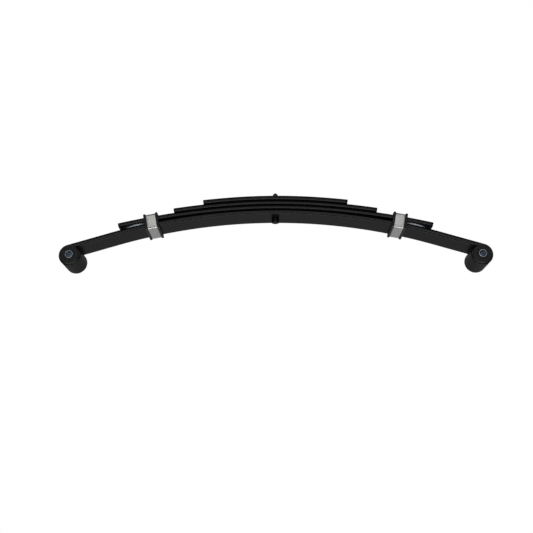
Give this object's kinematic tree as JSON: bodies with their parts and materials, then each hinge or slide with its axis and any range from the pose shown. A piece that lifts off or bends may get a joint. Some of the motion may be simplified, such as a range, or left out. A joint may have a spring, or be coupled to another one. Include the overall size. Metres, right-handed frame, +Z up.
{
  "type": "semi-elliptic leaf spring",
  "caption": "Arched pack of graduated steel leaves with rolled eyes, rubber bushes and steel sleeves, held by a centre bolt and two lined rebound clips; flexes and returns.",
  "frame": {"origin": "midway between the two eyes, on the plane that they stand on", "axes": "+X along the spring towards its rear eye, +Y across its width, +Z up through the centre bolt, arch upwards"},
  "size_m": [0.6576, 0.06, 0.1226],
  "materials": {
    "black_paint": "satin black paint on spring steel",
    "black_oxide": "black oxide on steel",
    "bright_band": "bright rolled steel strip",
    "rubber": "moulded black rubber",
    "nylon": "pale bluish glossy plastic",
    "zinc": "bright blue zinc plating"
  },
  "bodies": {
    "leaf_pack": {"main_leaf": "black_paint", "second_leaf": "black_paint", "third_leaf": "black_paint", "short_leaf": "black_paint", "centre_bolt": "black_oxide", "centre_nut": "black_oxide"},
    "front_arm": {"front_clip_band": "bright_band", "front_clip_liner": "rubber", "front_clip_rivet": "bright_band", "front_tip_pad": "nylon"},
    "front_sleeve": {"front_eye_sleeve": "zinc"},
    "front_near_bush_body": {"front_near_bush": "rubber"},
    "front_far_bush_body": {"front_far_bush": "rubber"},
    "rear_arm": {"rear_clip_band": "bright_band", "rear_clip_liner": "rubber", "rear_clip_rivet": "bright_band", "rear_tip_pad": "nylon"},
    "rear_sleeve": {"rear_eye_sleeve": "zinc"},
    "rear_near_bush_body": {"rear_near_bush": "rubber"},
    "rear_far_bush_body": {"rear_far_bush": "rubber"}
  },
  "joints": [
    {"name": "front_flex", "type": "hinge", "parent": "leaf_pack", "child": "front_arm", "pos_m": [-0.094, 0, 0.0806], "axis": [0, 1, 0], "range_deg": [0, 9], "stiffness_Nm_per_rad": 3600, "deforming": ["main_leaf", "second_leaf", "third_leaf", "short_leaf"]},
    {"name": "front_sleeve_turn", "type": "hinge", "parent": "front_arm", "child": "front_sleeve", "pos_m": [-0.312, 0, 0.0168], "axis": [0, 1, 0], "continuous": true},
    {"name": "front_near_bush_pull", "type": "slide", "parent": "front_arm", "child": "front_near_bush_body", "axis": [0, -1, 0], "range_m": [0, 0.024]},
    {"name": "front_far_bush_pull", "type": "slide", "parent": "front_arm", "child": "front_far_bush_body", "axis": [0, 1, 0], "range_m": [0, 0.024]},
    {"name": "rear_flex", "type": "hinge", "parent": "leaf_pack", "child": "rear_arm", "pos_m": [0.094, 0, 0.0806], "axis": [0, -1, 0], "range_deg": [0, 9], "stiffness_Nm_per_rad": 3600, "deforming": ["main_leaf", "second_leaf", "third_leaf", "short_leaf"]},
    {"name": "rear_sleeve_turn", "type": "hinge", "parent": "rear_arm", "child": "rear_sleeve", "pos_m": [0.312, 0, 0.0168], "axis": [0, 1, 0], "continuous": true},
    {"name": "rear_near_bush_pull", "type": "slide", "parent": "rear_arm", "child": "rear_near_bush_body", "axis": [0, -1, 0], "range_m": [0, 0.024]},
    {"name": "rear_far_bush_pull", "type": "slide", "parent": "rear_arm", "child": "rear_far_bush_body", "axis": [0, 1, 0], "range_m": [0, 0.024]}
  ]
}
